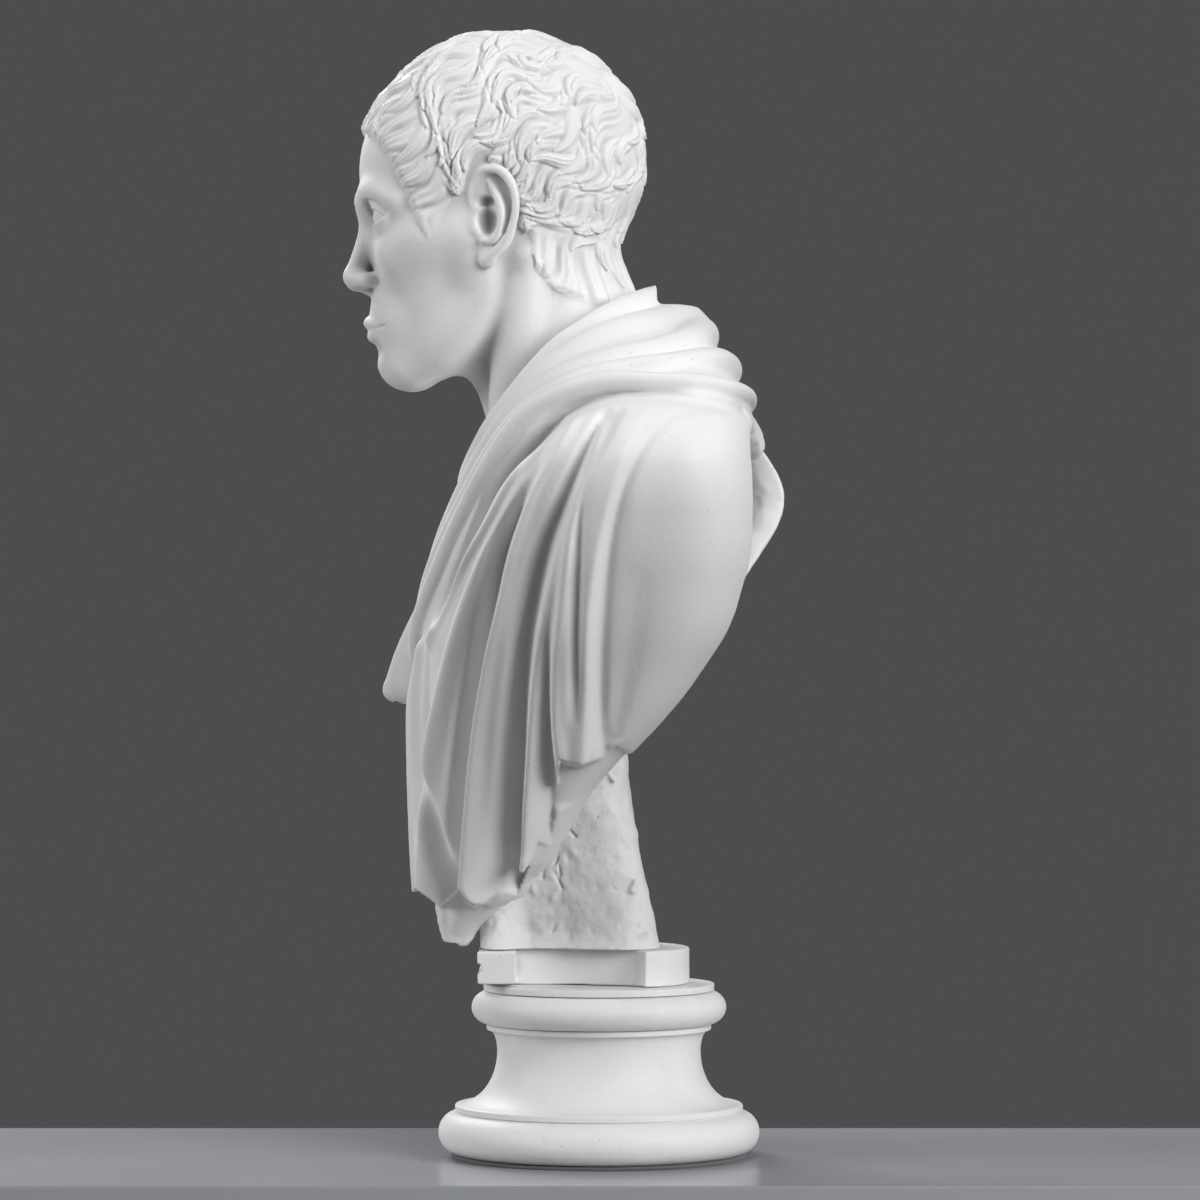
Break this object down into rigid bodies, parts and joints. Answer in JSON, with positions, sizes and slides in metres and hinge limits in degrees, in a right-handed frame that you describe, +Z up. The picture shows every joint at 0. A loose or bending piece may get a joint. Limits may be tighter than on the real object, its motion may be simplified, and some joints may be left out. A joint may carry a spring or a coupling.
{
  "type": "marble bust",
  "caption": "Draped classical portrait bust in white marble, its head, hollow-backed shell, column and foot plinth pinned together on a turned round socle.",
  "frame": {"origin": "middle of the base's underside, on the felt pad that the bust stands on", "axes": "+Z up, along the height; the bust looks along -Y; its left shoulder is at +X"},
  "size_m": [0.476, 0.294, 0.7502],
  "materials": {
    "marble": "fine-grained white cast marble, honed matte to satin",
    "steel": "plain stainless, machine turned",
    "felt": "pressed wool felt"
  },
  "bodies": {
    "root": {"head": "marble", "draped_shell": "marble", "support_column": "marble", "foot_plinth": "marble", "socle": "marble", "neck_dowel": "steel", "tie_rod": "steel", "anchor_washer": "steel", "anchor_nut": "steel", "clamp_washer": "steel", "spring_washer": "steel", "clamp_nut": "steel", "locating_pin_left": "steel", "locating_pin_right": "steel", "felt_pad": "felt"}
  },
  "joints": []
}
